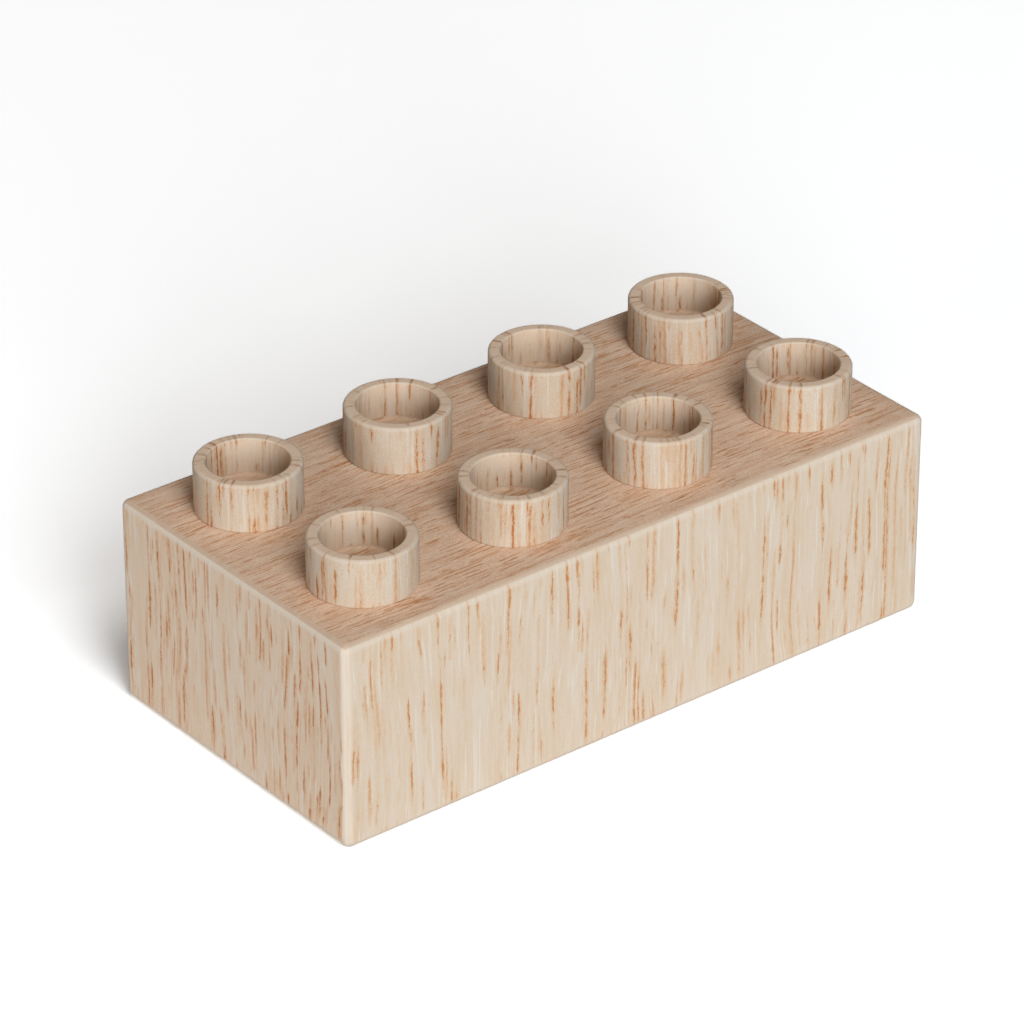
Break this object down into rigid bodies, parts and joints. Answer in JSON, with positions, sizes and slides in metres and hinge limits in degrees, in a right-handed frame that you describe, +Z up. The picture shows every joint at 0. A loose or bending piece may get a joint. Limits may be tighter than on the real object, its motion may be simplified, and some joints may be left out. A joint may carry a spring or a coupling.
{
  "type": "giant building block",
  "caption": "Large hollow wooden stacking block with rows of ring-shaped studs on top and an open underside whose tubes and rails grip the studs of the block below.",
  "frame": {"origin": "middle of the base, on the surface that the block stands on", "axes": "+X along the length of the block to the right, +Y across it to the back, +Z up through the studs"},
  "size_m": [0.4996, 0.2496, 0.1895],
  "materials": {
    "wall_wood": "pale straight-grained wood, upright grain with brown pore streaks, clear satin oil",
    "top_wood": "tan wood, grain along the block with fine dark pores, clear satin oil",
    "stud_wood": "pale turned wood, upright grain with brown pore streaks, clear satin oil",
    "floor_wood": "tan turned wood, grain along the block, clear satin oil",
    "inner_wood": "planed pale wood, unoiled",
    "plywood": "sanded birch plywood",
    "screw_steel": "zinc-plated steel"
  },
  "bodies": {
    "root": {"front_wall": "wall_wood", "back_wall": "wall_wood", "left_wall": "wall_wood", "right_wall": "wall_wood", "top_board": "top_wood", "stud_ring_front_1": "stud_wood", "stud_ring_front_2": "stud_wood", "stud_ring_front_3": "stud_wood", "stud_ring_front_4": "stud_wood", "stud_ring_back_1": "stud_wood", "stud_ring_back_2": "stud_wood", "stud_ring_back_3": "stud_wood", "stud_ring_back_4": "stud_wood", "stud_plug_front_1": "floor_wood", "stud_plug_front_2": "floor_wood", "stud_plug_front_3": "floor_wood", "stud_plug_front_4": "floor_wood", "stud_plug_back_1": "floor_wood", "stud_plug_back_2": "floor_wood", "stud_plug_back_3": "floor_wood", "stud_plug_back_4": "floor_wood", "stud_screws": "screw_steel", "clutch_tube_left": "inner_wood", "clutch_tube_middle": "inner_wood", "clutch_tube_right": "inner_wood", "tube_plug_left": "plywood", "tube_plug_middle": "plywood", "tube_plug_right": "plywood", "tube_plug_screws": "screw_steel", "grip_rail_front": "inner_wood", "grip_rail_back": "inner_wood", "grip_rail_left": "inner_wood", "grip_rail_right": "inner_wood", "corner_post_front_left": "inner_wood", "corner_post_front_right": "inner_wood", "corner_post_back_left": "inner_wood", "corner_post_back_right": "inner_wood", "corner_key_front_left": "plywood", "corner_key_front_right": "plywood", "corner_key_back_left": "plywood", "corner_key_back_right": "plywood", "cleat_front": "inner_wood", "cleat_back": "inner_wood", "cleat_left": "inner_wood", "cleat_right": "inner_wood", "cross_batten_1": "inner_wood", "cross_batten_2": "inner_wood", "cross_batten_3": "inner_wood", "cross_batten_4": "inner_wood"}
  },
  "joints": []
}
